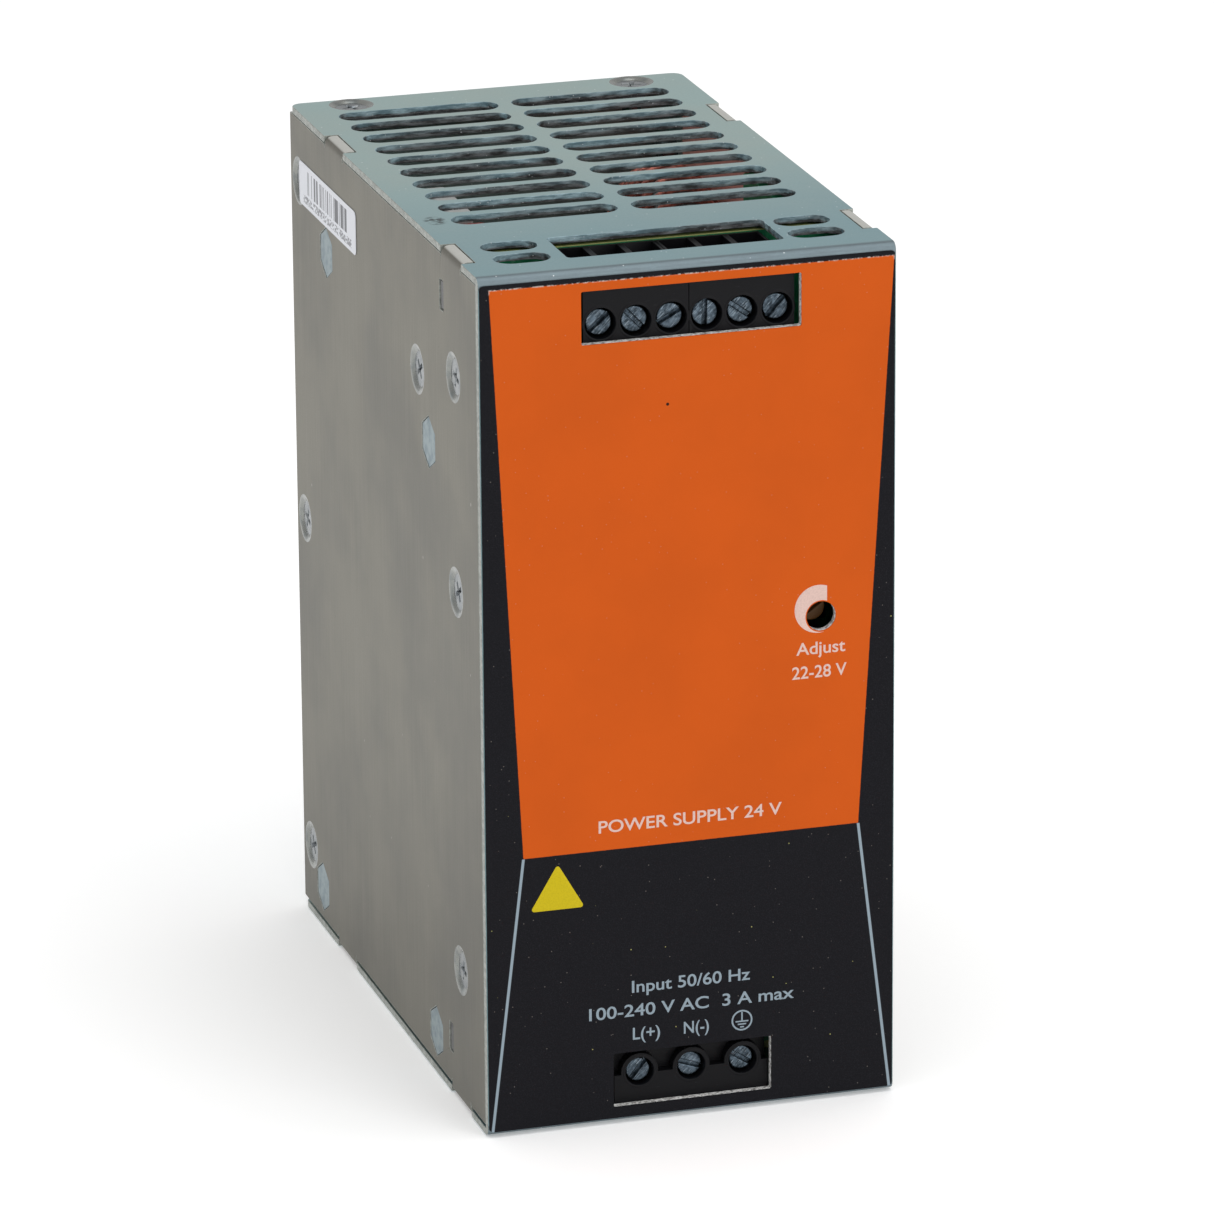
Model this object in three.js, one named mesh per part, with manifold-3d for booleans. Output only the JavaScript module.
// DIN rail power supply, 24 V DC output, in a folded sheet-steel case.
// Millimetres, +Z up, front facing -Y, origin at the middle of the underside of the bounding box.
// The case is a U-shaped chassis (top, front and underside), two side panels hooked into it with folded
// tabs, and a flanged rear panel that carries a spring-loaded clip for a 35 mm rail.
import * as THREE from 'three';
import { mergeVertices } from 'three/addons/utils/BufferGeometryUtils.js';
import Module from 'manifold-3d';

const wasm = await Module();
wasm.setup();

// ---- driving dimensions -------------------------------------------------------------------------
const CASE = { width: 60, depth: 100, height: 125, sheet: 1, bend: 1.2 };
const HALF_W = CASE.width / 2;
const HALF_D = CASE.depth / 2;
const TOP = CASE.height;
const T = CASE.sheet;
const FIT = 0.1; // clearance between neighbouring sheets
const OVERLAY = { gap: 0.05, thick: 0.2, width: 59.6, low: 0.7, high: 124, corner: 0.6 };
const CLIP = { rail: 35, centre: 64, base: 1.2, land: 0.1, flange: 1.4, lip: 3.4 };
const CLIP_DEPTH = CLIP.base + CLIP.flange + CLIP.lip;
const FRONT_REACH = HALF_D + OVERLAY.gap + OVERLAY.thick;
const SHIFT_Y = (FRONT_REACH - HALF_D - CLIP_DEPTH) / 2; // centres the bounding box on Y
const VENT = { rows: 10, pitch: 6.67, first: 40, length: 24, width: 4.8, centre: 13.1 };
const CORNER_VENT = { length: 8, width: 4.8, centre: 21.2, rows: [-35, -41.4] };
const NOTCH = { centres: [25.4, -36.6], length: 11, depth: 2.1 };
const TAB = { length: 9.6, reach: 1.95, bend: 1.1 };
const DIMPLE = { rim: 3.6, seat: 2.9, hole: 1.7, step: 0.35 };
const BOARD = { front: -32.5, thick: 1.6, tabZ: [117.9, 8.4] };
const OUTPUT = { pitch: 5.08, poles: 3, z: 116.9, low: 110, high: 123.4, x: 0.4, entry: 1 };
const INPUT = { pitch: 7.62, poles: 3, z: 6.8, low: 1.3, high: 12.7, x: 0.3, entry: -1 };
const BLOCK = { front: -48.9, back: -32.7, entryFront: -41.6, entryBack: -36.4, mouth: 2.4, mouthBack: -33.2 };
const OUTPUT_CUTOUT = { x: 0.4, width: 31.6, low: 114.4, high: 122 };
const INPUT_CUTOUT = { x: 0.1, width: 23.3, low: 2.4, high: 10.4 };
const ENTRY_WINDOW = { front: -43.4, back: -32.6, output: 15.6, input: 11.9 };
const TRIMMER = { x: 19.1, z: 72.1, hole: 2.15 };
const FRONT_SCREW_Y = -37.2;
const REAR_SCREW_Y = 45.5;
const FRONT_SCREW_Z = [107.6, 76.5, 20.4];
const REAR_SCREW_Z = [114.5, 62.6, 11];
const BRACKET_SCREW = { y: -18.6, z: 103.6 };
const TOP_SCREW = { x: 21.5, y: 46.8 };
const STANDOFFS = [[30.5, 107.5], [-24, 94.5], [39.1, 6.5], [-23.8, 6.4]];
const MAIN_BOARD_X = -23.6;
const ROUND = 16; // sides of a small turned piece

// ---- materials ----------------------------------------------------------------------------------
const finish = (color, metalness, roughness) =>
  new THREE.MeshStandardMaterial({ color, metalness, roughness });
const ZINC = finish(0xa3aaa4, 0.9, 0.38);
const SIDE_STEEL = finish(0x94918a, 0.85, 0.45);
const STEEL = finish(0x8c9298, 0.95, 0.35);
const BRIGHT = finish(0xc9ccce, 1, 0.2);
const OVERLAY_FILM = finish(0xce5c1c, 0, 0.45);
const PAPER = finish(0xe6e7ea, 0, 0.6);
const BLACK_PLASTIC = finish(0x1b1c20, 0, 0.4);
const BRASS = finish(0xb0924f, 0.9, 0.35);
const LAMINATE = finish(0x1f6b3f, 0, 0.5);
const AMBER = finish(0xa9743a, 0, 0.5);
const FERRITE = finish(0x2b2a2c, 0.1, 0.6);
const COPPER_WIRE = finish(0xb9624f, 0.4, 0.4);
const TAPE = finish(0xc9a63b, 0, 0.5);
const SLEEVE = finish(0x23272e, 0, 0.35);
const ALUMINIUM = finish(0xc3c6c8, 0.9, 0.4);
const GREY_BOX = finish(0xb9bbb8, 0, 0.5);
const RED_BOX = finish(0x9c2f28, 0, 0.45);

// ---- solids -------------------------------------------------------------------------------------
// A closed geometry as a manifold-3d solid, with vertices at the same place merged.
function solid(geometry) {
  const bare = geometry.index ? geometry.toNonIndexed() : geometry.clone();
  for (const name of Object.keys(bare.attributes)) if (name !== 'position') bare.deleteAttribute(name);
  const merged = mergeVertices(bare, 1e-4);
  const vertProperties = new Float32Array(merged.attributes.position.array);
  const triVerts = new Uint32Array(merged.index.array);
  return new wasm.Manifold(new wasm.Mesh({ numProp: 3, vertProperties, triVerts }));
}

function geometryOf(made) {
  const mesh = made.getMesh();
  const geometry = new THREE.BufferGeometry();
  geometry.setAttribute('position', new THREE.BufferAttribute(new Float32Array(mesh.vertProperties), 3));
  geometry.setIndex(new THREE.BufferAttribute(new Uint32Array(mesh.triVerts), 1));
  const flat = geometry.toNonIndexed();
  flat.computeVertexNormals();
  return flat;
}

const join = (first, ...others) => geometryOf(others.reduce((sum, g) => sum.add(solid(g)), solid(first)));
const cut = (first, ...others) => geometryOf(others.reduce((rest, g) => rest.subtract(solid(g)), solid(first)));

// A box between two values on each axis.
function box([x0, x1], [y0, y1], [z0, z1]) {
  return new THREE.BoxGeometry(x1 - x0, y1 - y0, z1 - z0).translate((x0 + x1) / 2, (y0 + y1) / 2, (z0 + z1) / 2);
}

const ALONG = {
  x: new THREE.Matrix4().makeBasis(new THREE.Vector3(0, 1, 0), new THREE.Vector3(0, 0, 1), new THREE.Vector3(1, 0, 0)),
  y: new THREE.Matrix4().makeBasis(new THREE.Vector3(0, 0, 1), new THREE.Vector3(1, 0, 0), new THREE.Vector3(0, 1, 0)),
  z: new THREE.Matrix4(),
};

// A shape extruded along an axis from one value to another. Its own two coordinates are the next two
// axes in turn: (y, z) for x, (z, x) for y and (x, y) for z.
function extrude(shape, axis, from, to, curveSegments = 2) {
  const geometry = new THREE.ExtrudeGeometry(shape, { depth: to - from, bevelEnabled: false, curveSegments });
  return geometry.translate(0, 0, from).applyMatrix4(ALONG[axis]);
}

// A solid turned about an axis through the origin, from [radius, distance] pairs that start and end on
// the axis, with the distance growing towards the positive end.
function turned(profile, axis, sides = ROUND) {
  const points = profile.map(([radius, along]) => new THREE.Vector2(radius, along));
  return new THREE.LatheGeometry(points, sides).rotateX(Math.PI / 2).applyMatrix4(ALONG[axis]);
}

const rod = (radius, axis, from, to, sides = ROUND) =>
  turned([[0, from], [radius, from], [radius, to], [0, to]], axis, sides);

function rectangle(low, high, radius = 0) {
  const [x0, y0] = low;
  const [x1, y1] = high;
  const shape = new THREE.Shape();
  if (!radius) {
    return shape.moveTo(x0, y0).lineTo(x1, y0).lineTo(x1, y1).lineTo(x0, y1).closePath();
  }
  shape.moveTo(x0 + radius, y0);
  shape.absarc(x1 - radius, y0 + radius, radius, -Math.PI / 2, 0);
  shape.absarc(x1 - radius, y1 - radius, radius, 0, Math.PI / 2);
  shape.absarc(x0 + radius, y1 - radius, radius, Math.PI / 2, Math.PI);
  shape.absarc(x0 + radius, y0 + radius, radius, Math.PI, Math.PI * 1.5);
  return shape.closePath();
}

// A slot with round ends, lying along the first coordinate.
const slotShape = (cx, cy, length, width) =>
  rectangle([cx - length / 2, cy - width / 2], [cx + length / 2, cy + width / 2], width / 2 - 0.001);

function hexagon(cx, cy, acrossFlats) {
  const shape = new THREE.Shape();
  const radius = acrossFlats / Math.sqrt(3);
  for (let i = 0; i < 6; i++) {
    const angle = (i * Math.PI) / 3 + Math.PI / 2;
    shape[i ? 'lineTo' : 'moveTo'](cx + radius * Math.cos(angle), cy + radius * Math.sin(angle));
  }
  return shape.closePath();
}

// ---- the assembly -------------------------------------------------------------------------------
const supply = new THREE.Group();
supply.position.y = SHIFT_Y;

function add(name, geometry, material, [x, y, z] = [0, 0, 0], parent = supply) {
  const mesh = new THREE.Mesh(geometry, material);
  mesh.name = name;
  mesh.position.set(x, y, z);
  parent.add(mesh);
  return mesh;
}

// ---- chassis: top, front and underside in one folded sheet --------------------------------------
function foldedU() {
  const rear = HALF_D;
  const front = -HALF_D;
  const outer = CASE.bend;
  const inner = CASE.bend - T;
  const shape = new THREE.Shape();
  shape.moveTo(rear, 0).lineTo(front + outer, 0);
  shape.absarc(front + outer, outer, outer, -Math.PI / 2, Math.PI, true);
  shape.absarc(front + outer, TOP - outer, outer, Math.PI, Math.PI / 2, true);
  shape.lineTo(rear, TOP).lineTo(rear, TOP - T);
  shape.absarc(front + outer, TOP - outer, inner, Math.PI / 2, Math.PI);
  shape.absarc(front + outer, outer, inner, Math.PI, Math.PI * 1.5);
  shape.lineTo(rear, T).closePath();
  return extrude(shape, 'x', -HALF_W, HALF_W);
}

function ventCutters() {
  const cutters = [];
  for (const side of [-1, 1]) {
    for (let row = 0; row < VENT.rows; row++) {
      const slot = slotShape(side * VENT.centre, VENT.first - row * VENT.pitch, VENT.length, VENT.width);
      cutters.push(extrude(slot, 'z', -1, TOP + 1, 1));
    }
    for (const y of CORNER_VENT.rows) {
      const slot = slotShape(side * CORNER_VENT.centre, y, CORNER_VENT.length, CORNER_VENT.width);
      cutters.push(extrude(slot, 'z', -1, TOP + 1, 1));
    }
  }
  return cutters;
}

function notchCutters() {
  const cutters = [];
  for (const side of [-1, 1]) {
    for (const y of NOTCH.centres) {
      const inner = side * (HALF_W - NOTCH.depth);
      const x = [Math.min(inner, side * 31), Math.max(inner, side * 31)];
      cutters.push(box(x, [y - NOTCH.length / 2, y + NOTCH.length / 2], [-1, TOP + 1]));
    }
  }
  return cutters;
}

// The countersink of a sunk screw, opening towards +Z at the origin: a shallow rounded rim, then a cone.
function dimple() {
  return turned([[0, -6], [DIMPLE.hole, -6], [DIMPLE.hole, -1.05], [DIMPLE.seat, -DIMPLE.step],
    [DIMPLE.rim, 0], [DIMPLE.rim, 0.5], [0, 0.5]], 'z');
}
const leftDimple = ([y, z]) => dimple().rotateY(-Math.PI / 2).translate(-HALF_W, y, z);
const rightDimple = ([y, z]) => dimple().rotateY(Math.PI / 2).translate(HALF_W, y, z);
const topDimple = ([x, y]) => dimple().translate(x, y, TOP);
const undersideDimple = ([x, y]) => dimple().rotateX(Math.PI).translate(x, y, 0);

function frontFlange(side) {
  const outer = side * (HALF_W - T - FIT);
  const inner = side * (HALF_W - 2 * T - FIT);
  const x = [Math.min(outer, inner), Math.max(outer, inner)];
  const flange = box(x, [-HALF_D + 0.5, -33.2], [14, 113]);
  const holes = FRONT_SCREW_Z.map((z) => rod(1.6, 'x', -31, 31).translate(0, FRONT_SCREW_Y, z));
  return cut(flange, ...holes);
}

const terminalCutout = ({ x, width, low, high }, y) => box([x - width / 2, x + width / 2], y, [low, high]);

function chassis() {
  const topScrews = [-TOP_SCREW.x, TOP_SCREW.x].map((x) => [x, TOP_SCREW.y]);
  const through = [-HALF_D - 1, -HALF_D + T + 0.4];
  const windowY = [ENTRY_WINDOW.front, ENTRY_WINDOW.back];
  const entryWindow = (x, half, z) =>
    extrude(rectangle([x - half, windowY[0]], [x + half, windowY[1]], 0.7), 'z', z[0], z[1]);
  const outputWindow = entryWindow(OUTPUT.x, ENTRY_WINDOW.output, [TOP - 2, TOP + 1]);
  const inputWindow = entryWindow(INPUT.x, ENTRY_WINDOW.input, [-1, 2]);
  const sheet = cut(
    foldedU(),
    ...ventCutters(),
    ...notchCutters(),
    ...topScrews.map(topDimple),
    ...topScrews.map(undersideDimple),
    outputWindow,
    inputWindow,
    terminalCutout(OUTPUT_CUTOUT, through),
    terminalCutout(INPUT_CUTOUT, through),
    rod(TRIMMER.hole, 'y', through[0], through[1], 28).translate(TRIMMER.x, 0, TRIMMER.z),
  );
  return join(sheet, frontFlange(-1), frontFlange(1));
}

// ---- side panels --------------------------------------------------------------------------------
// A folded tab in section, on the left side: it rises from the panel and turns in over the notch.
function tabSection(turn) {
  const side = new THREE.Shape();
  const edge = (x, z) => (turn > 0 ? [TOP - z, x] : [z, x]);
  const outline = [[-HALF_W, 3], [-HALF_W, TAB.bend]];
  for (let i = 1; i <= 5; i++) {
    const angle = (i / 5) * (Math.PI / 2);
    const x = -HALF_W + TAB.bend * (1 - Math.cos(angle));
    outline.push([x, TAB.bend * (1 - Math.sin(angle))]);
  }
  outline.push([-HALF_W + TAB.reach, 0], [-HALF_W + TAB.reach, T], [-HALF_W + T, T], [-HALF_W + T, 3]);
  outline.forEach(([x, z], i) => side[i ? 'lineTo' : 'moveTo'](...edge(x, z)));
  return side.closePath();
}

function sidePanel(screws, studs) {
  const plate = box([-HALF_W, -HALF_W + T], [-HALF_D + T + FIT, HALF_D], [T + 0.5, TOP - T - FIT]);
  const tabs = [];
  for (const y of NOTCH.centres) {
    for (const turn of [-1, 1]) {
      tabs.push(extrude(tabSection(turn), 'y', y - TAB.length / 2, y + TAB.length / 2));
    }
  }
  const boardY = [BOARD.front - 0.25, BOARD.front + BOARD.thick + 0.25];
  const boardSlots = BOARD.tabZ.map((z) => box([-31, -28], boardY, [z - 2.2, z + 2.2]));
  const hexes = studs.map(([y, z]) => extrude(hexagon(y, z, 6.7), 'x', -31, -28));
  return cut(join(plate, ...tabs), ...boardSlots, ...hexes, ...screws.map(leftDimple));
}

const frontScrews = FRONT_SCREW_Z.map((z) => [FRONT_SCREW_Y, z]);
const rearScrews = REAR_SCREW_Z.map((z) => [REAR_SCREW_Y, z]);
const leftScrews = [...rearScrews, ...frontScrews, [BRACKET_SCREW.y, BRACKET_SCREW.z]];

// The right panel is the left one mirrored, without the press studs and the bracket's screw. A mirror
// turns the faces inside out, so each triangle's order is put back.
function mirroredX(geometry) {
  const flat = geometry.clone().scale(-1, 1, 1);
  const position = flat.attributes.position;
  for (let i = 0; i < position.count; i += 3) {
    const [a, b] = [i + 1, i + 2].map((k) => new THREE.Vector3().fromBufferAttribute(position, k));
    position.setXYZ(i + 1, b.x, b.y, b.z);
    position.setXYZ(i + 2, a.x, a.y, a.z);
  }
  flat.computeVertexNormals();
  return flat;
}

// ---- rear panel with its flanges ----------------------------------------------------------------
function rearPanel() {
  const inside = HALF_W - T - FIT;
  const low = T + FIT;
  const high = TOP - T - FIT;
  const depth = [HALF_D - 7.2, HALF_D];
  const tray = cut(
    box([-inside, inside], depth, [low, high]),
    box([-inside + T, inside - T], [depth[0] - 1, HALF_D - T], [low + T, high - T]),
  );
  const corners = [-1, 1].flatMap((x) => [low, high].map((z) =>
    box([x * inside - 5, x * inside + 5], [depth[0] - 1, HALF_D - T], [z - 5, z + 5])));
  const sideHoles = REAR_SCREW_Z.map((z) => rod(1.6, 'x', -31, 31).translate(0, REAR_SCREW_Y, z));
  const topHoles = [-1, 1].map((s) => rod(1.6, 'z', -1, 126).translate(s * TOP_SCREW.x, TOP_SCREW.y, 0));
  return cut(tray, ...corners, ...sideHoles, ...topHoles);
}

// ---- rail clip ----------------------------------------------------------------------------------
const CLIP_Y = HALF_D + 0.05;
const RAIL_TOP = CLIP.centre + CLIP.rail / 2;
const RAIL_LOW = CLIP.centre - CLIP.rail / 2;
const LIP_Y = [CLIP_Y + CLIP.base + CLIP.flange, HALF_D + CLIP_DEPTH];
const LATCH = { half: 10, low: 2.5, top: RAIL_LOW + 2.6, back: CLIP_Y + CLIP.base + CLIP.land, thick: 1.2, travel: 4 };
const SPRING = { radius: 0.95, wire: 0.2, turns: 9, low: 26, high: 36 };

function railBracket() {
  const backY = CLIP_Y + CLIP.base;
  const plate = box([-18, 18], [CLIP_Y, backY], [22, RAIL_TOP + 6]);
  const seat = box([-18, 18], [backY - 0.2, backY + CLIP.land], [LATCH.top + 0.9, RAIL_TOP - 3.5]);
  const hookWeb = box([-17, 17], [backY - 0.2, LIP_Y[1]], [RAIL_TOP + 0.3, RAIL_TOP + 2.3]);
  const hookLip = box([-17, 17], LIP_Y, [RAIL_TOP - 3, RAIL_TOP + 2.3]);
  const guides = [-1, 1].flatMap((s) => [
    box([s * 11 - 0.6, s * 11 + 0.6], [backY - 0.2, backY + 2.8], [26, 42]),
    box([Math.min(s * 11.6, s * 8.8), Math.max(s * 11.6, s * 8.8)], [backY + 1.6, backY + 2.8], [26, 42]),
  ]);
  const anchor = box([-1.4, 1.4], [backY - 0.2, backY + 1.5], [SPRING.low - 1.4, SPRING.low - 0.1]);
  const holes = [[-14, 30], [14, 30], [-14, 76], [14, 76]].map(([x, z]) =>
    rod(1.7, 'y', CLIP_Y - 1, backY + 1).translate(x, 0, z));
  return cut(join(plate, seat, hookWeb, hookLip, ...guides, anchor), ...holes);
}

// The latch slides down to let go of the rail; its nose has a lead-in slope, and its foot a pull slot.
function railLatch() {
  const { half, low, top, back, thick } = LATCH;
  const plate = extrude(rectangle([-half, low], [half, top - 4], 1.5).closePath(), 'z', 0, thick)
    .applyMatrix4(new THREE.Matrix4().makeBasis(
      new THREE.Vector3(1, 0, 0), new THREE.Vector3(0, 0, 1), new THREE.Vector3(0, -1, 0)))
    .translate(0, back + thick, 0);
  const nose = new THREE.Shape();
  nose.moveTo(back, RAIL_LOW - 2.4).lineTo(LIP_Y[1] - 0.1, RAIL_LOW - 2.4).lineTo(LIP_Y[1] - 0.1, RAIL_LOW);
  nose.lineTo(LIP_Y[0] + 0.3, top).lineTo(LIP_Y[0], top).lineTo(LIP_Y[0], RAIL_LOW - 0.3);
  nose.lineTo(back, RAIL_LOW - 0.3).closePath();
  const foot = box([-half, half], [back, back + 3.4], [low, low + 1.8]);
  const window = box([-1.8, 1.8], [back - 1, back + 4], [SPRING.low - 6, SPRING.high + 0.1]);
  const pullSlot = box([-4, 4], [back - 1, back + 4], [low + 3, low + 6.2]);
  return cut(join(plate, extrude(nose, 'x', -7.5, 7.5), foot), window, pullSlot);
}

// A coil spring along Z: a round wire carried along a helix.
class Helix extends THREE.Curve {
  getPoint(t, target = new THREE.Vector3()) {
    const angle = t * SPRING.turns * 2 * Math.PI;
    const z = SPRING.low + SPRING.wire + t * (SPRING.high - SPRING.low - 2 * SPRING.wire);
    return target.set(SPRING.radius * Math.cos(angle), SPRING.radius * Math.sin(angle), z);
  }
}

function latchSpring() {
  const section = new THREE.Shape().absarc(0, 0, SPRING.wire, 0, 2 * Math.PI);
  const settings = { steps: SPRING.turns * 8, extrudePath: new Helix(), curveSegments: 3, bevelEnabled: false };
  return new THREE.ExtrudeGeometry(section, settings);
}

// ---- terminal blocks ----------------------------------------------------------------------------
const poleX = (kind, index, count) => kind.x + (index - (count - 1) / 2) * kind.pitch;
const CAGE = { front: -41.8, back: -36, wall: 0.6, face: 1.3 };
const clampSize = (kind) => ({
  half: kind.pitch / 2 - 0.45,
  cage: kind.pitch / 2 - 0.6,
  travel: kind === OUTPUT ? 2.4 : 2.7,
  tall: kind === OUTPUT ? 3.4 : 3.9,
  head: kind === OUTPUT ? 1.86 : 1.76,
  bore: kind === OUTPUT ? 2.35 : 2.2,
  shank: kind === OUTPUT ? 1.25 : 1.45,
});

// A moulded body with, for each pole, a screw bore from the front, a chamber for the clamp and a wire
// entry through the face that looks out of the case.
function terminalBlock(kind, firstX) {
  const { half, travel, tall, bore } = clampSize(kind);
  const x = [firstX - kind.pitch / 2 + 0.05, firstX + (kind.poles - 0.5) * kind.pitch - 0.05];
  const outside = kind.entry > 0 ? [kind.z, kind.high + 1] : [kind.low - 1, kind.z];
  const mouth = kind.entry > 0 ? [kind.high - BLOCK.mouth, kind.high + 1] : [kind.low - 1, kind.low + BLOCK.mouth];
  const cutters = [];
  for (let i = 0; i < kind.poles; i++) {
    const cx = firstX + i * kind.pitch;
    cutters.push(rod(bore, 'y', BLOCK.front - 1, CAGE.front, 24).translate(cx, 0, kind.z));
    const chamberY = [CAGE.front - travel - 0.2, CAGE.back + 0.2];
    cutters.push(box([cx - half, cx + half], chamberY, [kind.z - tall - 0.3, kind.z + tall + 0.3]));
    cutters.push(box([cx - half, cx + half], [BLOCK.entryFront, BLOCK.entryBack], outside));
    cutters.push(box([cx - half, cx + half], [BLOCK.entryFront, BLOCK.mouthBack], mouth));
  }
  const body = box(x, [BLOCK.front, BLOCK.back], [kind.low, kind.high]);
  if (kind === INPUT) {
    // The upper half of the face is set back, except for a collar at each screw.
    const collars = cutters.filter((_, i) => i % 4 === 0).map((_, i) =>
      rod(bore + 0.55, 'y', BLOCK.front, -45, 24).translate(firstX + i * kind.pitch, 0, kind.z));
    const setBack = cut(body, box([x[0] - 1, x[1] + 1], [BLOCK.front - 1, -47.2], [kind.z - 0.3, kind.high + 1]));
    return cut(join(setBack, ...collars), ...cutters);
  }
  return cut(body, ...cutters);
}

// A slotted clamp screw, with its head at the front and its shank along +Y from the origin.
function clampScrew(kind) {
  const { head, shank } = clampSize(kind);
  const blank = turned([[0, 0], [head - 0.2, 0], [head, 0.2], [head, 1.6], [shank, 1.6], [shank, 8.5], [0, 8.5]], 'y');
  return cut(blank, box([-3, 3], [-1, 0.7], [-0.32, 0.32]));
}

// A clamp cage: a square metal loop that the wire goes through along Z, with a tapped front wall. It is
// drawn round the origin of X and Z, at its place along Y.
function clampCage(kind) {
  const { cage, tall, shank } = clampSize(kind);
  return cut(
    box([-cage, cage], [CAGE.front, CAGE.back], [-tall, tall]),
    box([-cage + CAGE.wall, cage - CAGE.wall], [CAGE.front + CAGE.face, CAGE.back - CAGE.wall], [-9, 9]),
    rod(shank + 0.08, 'y', CAGE.front - 1, CAGE.front + CAGE.face + 0.5),
  );
}

// ---- boards and parts inside --------------------------------------------------------------------
function terminalBoard() {
  const y = [BOARD.front, BOARD.front + BOARD.thick];
  const edge = HALF_W - T - 0.2;
  const tabs = BOARD.tabZ.map((z) => box([-HALF_W + 0.15, HALF_W - 0.15], y, [z - 2, z + 2]));
  return join(box([-edge, edge], y, [1.4, 123.6]), ...tabs);
}

function pressStud() {
  const head = extrude(hexagon(0, 0, 6.5), 'x', -HALF_W + 0.05, -HALF_W + T + 0.4);
  return join(head, rod(2.5, 'x', -HALF_W + T, MAIN_BOARD_X - 0.1));
}

// A sunk cross-recess screw, with its head at the origin facing +Z.
function sunkScrew(length) {
  const blank = turned([[0, -length], [1.4, -length], [1.4, -1.1], [2.5, -0.5], [2.5, -0.42], [0, -0.42]], 'z');
  const arm = (turn) => box([-1.45, 1.45], [-0.3, 0.3], [-0.95, 0]).rotateZ(turn);
  return cut(blank, arm(0), arm(Math.PI / 2));
}

function transformerCore([x0, x1], [y0, y1], [z0, z1]) {
  const [middle, leg, yoke] = [(y0 + y1) / 2, 6, 6];
  const windows = [-1, 1].map((s) => {
    const near = middle + s * leg;
    const far = s < 0 ? y0 + yoke : y1 - yoke;
    return box([x0 - 1, x1 + 1], [Math.min(near, far), Math.max(near, far)], [z0 + yoke, z1 - yoke]);
  });
  return cut(box([x0, x1], [y0, y1], [z0, z1]), ...windows);
}

function heatsink([x0, x1], [y0, y1], [z0, z1]) {
  const plate = box([x0, x1], [y0, y1], [z0, z1]);
  const fins = [0, 1, 2, 3, 4].map((i) => box([x0 + 3 + i * 6, x0 + 4.2 + i * 6], [y1 - 0.1, y1 + 6], [z0, z1 - 6]));
  return join(plate, ...fins);
}

// A ring core fully wound with wire, standing with its axis along X.
const CHOKE = { x: 20.4, y: 24, z: 97, ring: 15, wound: 6.3 };
const chokeRing = () => new THREE.TorusGeometry(CHOKE.ring, CHOKE.wound, 10, 24).rotateY(Math.PI / 2);

// ---- assembly -----------------------------------------------------------------------------------
add('front_chassis', chassis(), ZINC);
add('left_side_panel', sidePanel(leftScrews, STANDOFFS), SIDE_STEEL);
add('right_side_panel', mirroredX(sidePanel([...rearScrews, ...frontScrews], [])), SIDE_STEEL);
add('rear_panel', rearPanel(), ZINC);

function overlay() {
  const half = OVERLAY.width / 2;
  const sheet = rectangle([OVERLAY.low, -half], [OVERLAY.high, half], OVERLAY.corner);
  const film = extrude(sheet, 'y', -FRONT_REACH, -FRONT_REACH + OVERLAY.thick);
  const deep = [-FRONT_REACH - 1, -HALF_D + 1];
  const hole = rod(TRIMMER.hole, 'y', deep[0], deep[1], 28).translate(TRIMMER.x, 0, TRIMMER.z);
  return cut(film, terminalCutout(OUTPUT_CUTOUT, deep), terminalCutout(INPUT_CUTOUT, deep), hole);
}
add('front_overlay', overlay(), OVERLAY_FILM);
add('side_label', box([-HALF_W - 0.12, -HALF_W - 0.02], [13.3, 44.8], [111.5, 118]), PAPER);

// Terminals. The screws rest at different angles, as they are left after tightening.
const OUTPUT_ANGLES = [42, -45, 30, 90, -35, 50];
const INPUT_ANGLES = [52, -18, -32];
const HEAD_Y = -48;

function terminalSet(kind, label, count, angles) {
  for (let i = 0; i < count; i++) {
    const x = poleX(kind, i, count);
    const screw = add(`${label}_clamp_screw_${i + 1}`, clampScrew(kind), STEEL, [x, HEAD_Y, kind.z]);
    screw.rotation.y = -THREE.MathUtils.degToRad(angles[i]);
    add(`${label}_clamp_cage_${i + 1}`, clampCage(kind), BRASS, [x, 0, kind.z]);
  }
}
add('output_terminal_left', terminalBlock(OUTPUT, poleX(OUTPUT, 0, 6)), BLACK_PLASTIC);
add('output_terminal_right', terminalBlock(OUTPUT, poleX(OUTPUT, 3, 6)), BLACK_PLASTIC);
add('input_terminal', terminalBlock(INPUT, poleX(INPUT, 0, 3)), BLACK_PLASTIC);
terminalSet(OUTPUT, 'output', 6, OUTPUT_ANGLES);
terminalSet(INPUT, 'input', 3, INPUT_ANGLES);

// Boards.
add('terminal_board', terminalBoard(), LAMINATE);
add('main_board', box([MAIN_BOARD_X, MAIN_BOARD_X + 1.6], [-30.2, 44], [2.4, 112.2]), LAMINATE);
add('control_board', box([24.6, 26.2], [-30.2, 2.2], [62, 122]), LAMINATE);

// Output voltage trimmer behind the round hole.
const trimmerAt = [TRIMMER.x, 0, TRIMMER.z];
const trimmerBody = cut(box([-4.8, 4.8], [-37.4, BOARD.front - 0.1], [-4.8, 4.8]), rod(2.1, 'y', -38, -35));
add('trimmer_body', trimmerBody, BLACK_PLASTIC, trimmerAt);
const rotorShaft = rod(1.9, 'y', -46, -35.2);
add('trimmer_rotor', cut(rotorShaft, box([-3, 3], [-47, -45], [-0.35, 0.35])), AMBER, trimmerAt);

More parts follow.
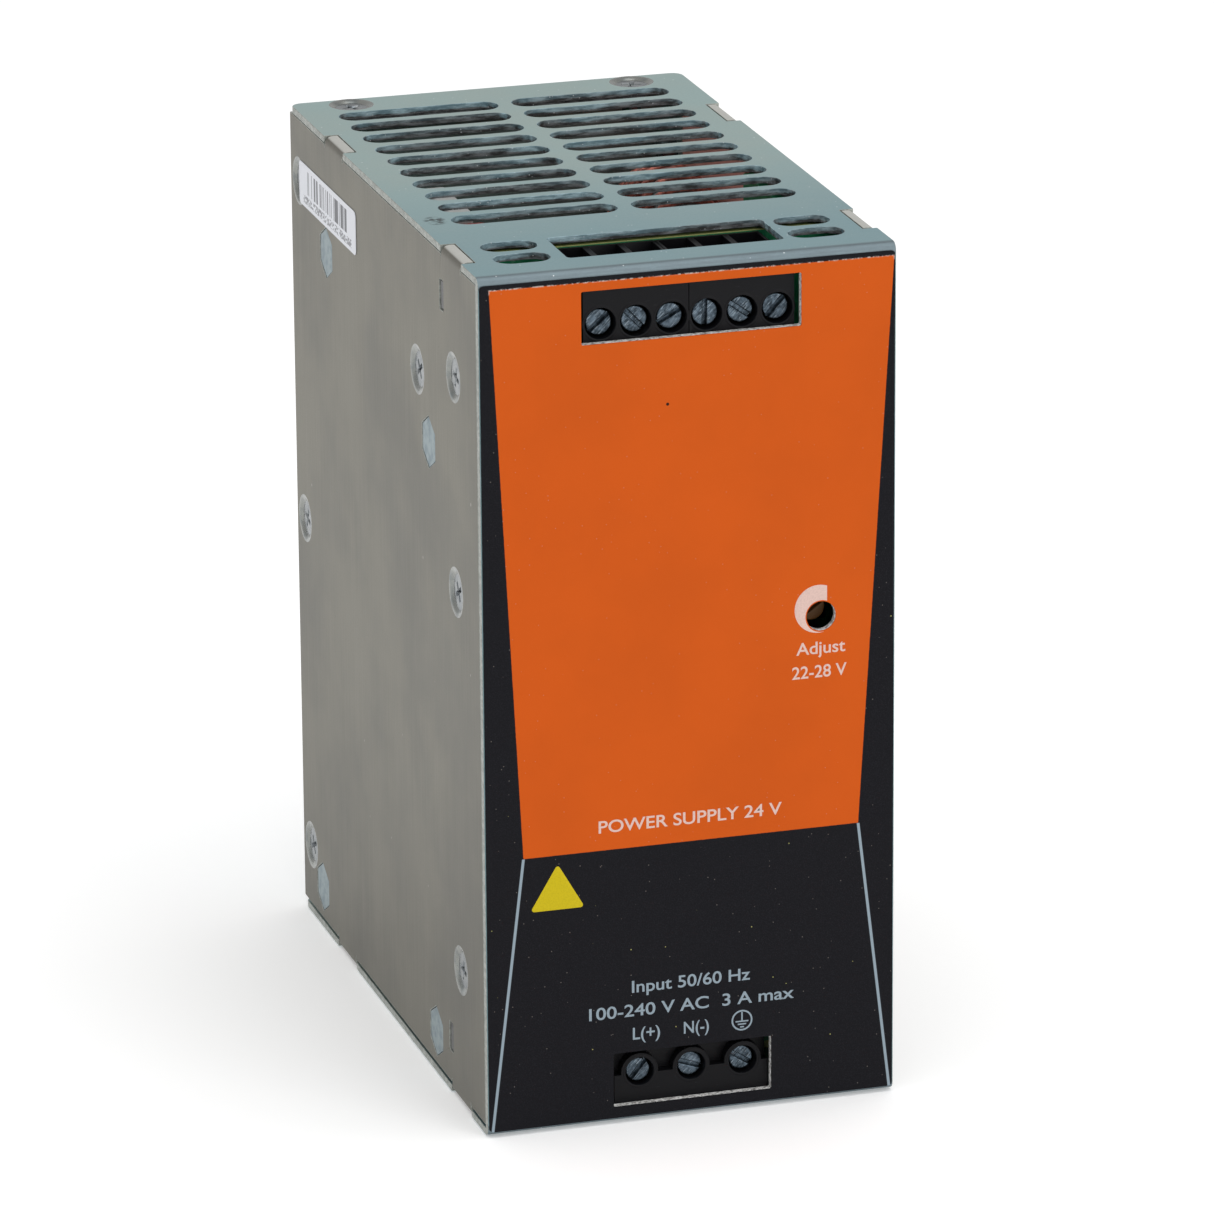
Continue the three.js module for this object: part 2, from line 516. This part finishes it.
// Case screws and press studs.
leftScrews.forEach(([y, z], i) => {
  add(`left_panel_screw_${i + 1}`, sunkScrew(5).rotateZ(0.3 + i).rotateY(-Math.PI / 2), BRIGHT, [-HALF_W, y, z]);
});
[-TOP_SCREW.x, TOP_SCREW.x].forEach((x, i) => {
  add(`top_screw_${i + 1}`, sunkScrew(5).rotateZ(0.5 + i), BRIGHT, [x, TOP_SCREW.y, TOP]);
});
STANDOFFS.forEach(([y, z], i) => add(`press_stud_${i + 1}`, pressStud(), ZINC, [0, y, z]));

// Rail clip.
add('rail_bracket', railBracket(), STEEL);
add('rail_latch', railLatch(), BRIGHT);
add('latch_spring', latchSpring(), BRIGHT, [0, LATCH.back + 1.1, 0]);

// Power parts inside the case.
add('choke', chokeRing(), COPPER_WIRE, [CHOKE.x, CHOKE.y, CHOKE.z]);
const coreAt = [[-18, -4], [-6, 30], [54, 88]];
add('transformer_core', transformerCore(...coreAt), FERRITE);
const winding = cut(box([-21.6, 2], [0.4, 23.6], [60.4, 81.6]), box([-18.4, -3.6], [5.6, 18.4], [50, 90]));
add('transformer_winding', winding, TAPE);
add('bulk_capacitor', rod(13, 'x', -21.8, 20, 28), SLEEVE, [0, 24, 30]);
add('output_capacitor_1', rod(6.2, 'x', -21.8, 4), SLEEVE, [0, -20, 30]);
add('output_capacitor_2', rod(6.2, 'x', -21.8, 4), SLEEVE, [0, -20, 45]);
add('heatsink', heatsink([-12.6, 17.4], [-15.2, -14.4], [64, 122.7]), ALUMINIUM);
add('rectifier_1', box([-12.8, 1.6], [-20.3, -15.3], [94, 115]), BLACK_PLASTIC);
add('rectifier_2', box([2.2, 16.6], [-20.3, -15.3], [94, 115]), BLACK_PLASTIC);
add('heat_bracket', cut(box([-HALF_W + T + FIT, -25.2], [-28.5, -10], [99, 111]),
  box([-27.3, -24], [-30, -12], [98, 112]),
  rod(1.6, 'x', -31, -24).translate(0, BRACKET_SCREW.y, BRACKET_SCREW.z)), ALUMINIUM);
add('line_filter_capacitor', box([-21.8, -18.2], [-7, 8], [95, 122.3]), GREY_BOX);
add('film_capacitor', box([-21.8, -16.5], [-14.4, -7.2], [102, 121]), RED_BOX);

export default supply;
